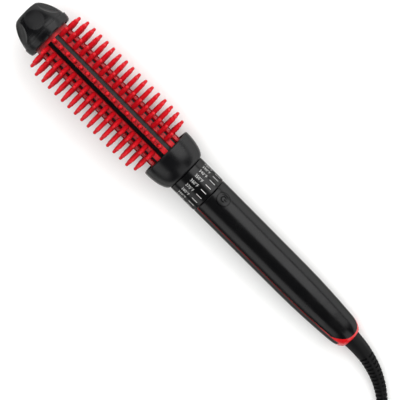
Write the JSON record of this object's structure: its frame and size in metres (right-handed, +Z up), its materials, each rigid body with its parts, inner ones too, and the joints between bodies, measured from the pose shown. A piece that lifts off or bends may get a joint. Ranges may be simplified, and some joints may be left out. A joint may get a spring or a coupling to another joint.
{
  "type": "heated styling brush",
  "caption": "Heated round styling brush: barrel with rows of red silicone bristles, cool tip, collar, temperature dial, black handle with power button, and mains cord on a swivel.",
  "frame": {"origin": "on the surface that the brush lies on, at the middle of its footprint without the cord; the brush rests on two rows of bristle tips and on the tail of its handle", "axes": "+X along the brush towards its tip, +Y to the left of the front bristle row seen with the tip up, +Z up"},
  "size_m": [0.4882, 0.0855, 0.057],
  "materials": {
    "satin_black": "satin moulded heat-resistant plastic",
    "gloss_black": "polished black moulded plastic",
    "hub_black": "plain moulded plastic",
    "silicone_red": "soft matte silicone rubber",
    "trim_red": "glossy moulded plastic",
    "barrel_black": "black ceramic coat on aluminium",
    "aluminium": "extruded aluminium",
    "ceramic": "unglazed ceramic and mineral-filled plastic",
    "film": "amber heat-resistant film",
    "bead": "coated bead",
    "steel": "plated steel",
    "leads": "glass-sleeved wire",
    "brass": "spring brass",
    "board": "fibreglass board with green mask",
    "components": "moulded component cases",
    "cord_black": "matte black flexible sheath",
    "tie": "paper-covered wire"
  },
  "bodies": {
    "brush": {"tip_cap": "satin_black", "tip_insulator": "ceramic", "cap_screw": "steel", "silicone_tip_ring": "silicone_red", "barrel_tube": "barrel_black", "bristle_strip_01": "silicone_red", "bristle_strip_02": "silicone_red", "bristle_strip_03": "silicone_red", "bristle_strip_04": "silicone_red", "bristle_strip_05": "silicone_red", "bristle_strip_06": "silicone_red", "bristle_strip_07": "silicone_red", "bristle_strip_08": "silicone_red", "bristle_strip_09": "silicone_red", "bristle_strip_10": "silicone_red", "bristle_strip_11": "silicone_red", "bristle_strip_12": "silicone_red", "heat_spreader_front": "aluminium", "heat_spreader_rear": "aluminium", "ptc_heater": "ceramic", "insulation_film": "film", "thermistor": "bead", "thermal_fuse": "steel", "heater_leads": "leads", "barrel_socket": "satin_black", "collar": "satin_black", "track_ring": "board", "detent_spring": "steel", "handle_front_cover": "gloss_black", "handle_rear_shell": "gloss_black", "red_trim": "trim_red", "tact_switch": "steel", "control_board": "board", "board_parts": "components", "handle_screws": "steel", "contact_springs": "brass", "contact_block": "hub_black"},
    "dial": {"temperature_dial": "gloss_black", "dial_wiper": "brass"},
    "button": {"power_button": "gloss_black", "switch_plunger": "hub_black"},
    "swivel": {"swivel_hub": "hub_black", "slip_rings": "brass", "strain_relief": "cord_black", "cord_lead": "cord_black", "cord_coil": "cord_black", "cord_end": "cord_black", "cord_tie": "tie", "plug_body": "cord_black", "plug_blades": "brass"}
  },
  "joints": [
    {"name": "dial_turn", "type": "hinge", "parent": "brush", "child": "dial", "pos_m": [-0.0064, 0, 0.02227], "axis": [-0.9975, 0, -0.0709], "range_deg": [-126, 126]},
    {"name": "button_press", "type": "slide", "parent": "brush", "child": "button", "axis": [0.0566, 0.6018, -0.7966], "range_m": [0, 0.0006], "stiffness_N_per_m": 900, "springref_m": -0.0004},
    {"name": "cord_swivel", "type": "hinge", "parent": "brush", "child": "swivel", "pos_m": [-0.16042, 0, 0.01132], "axis": [-0.9975, 0, -0.0709], "continuous": true}
  ]
}
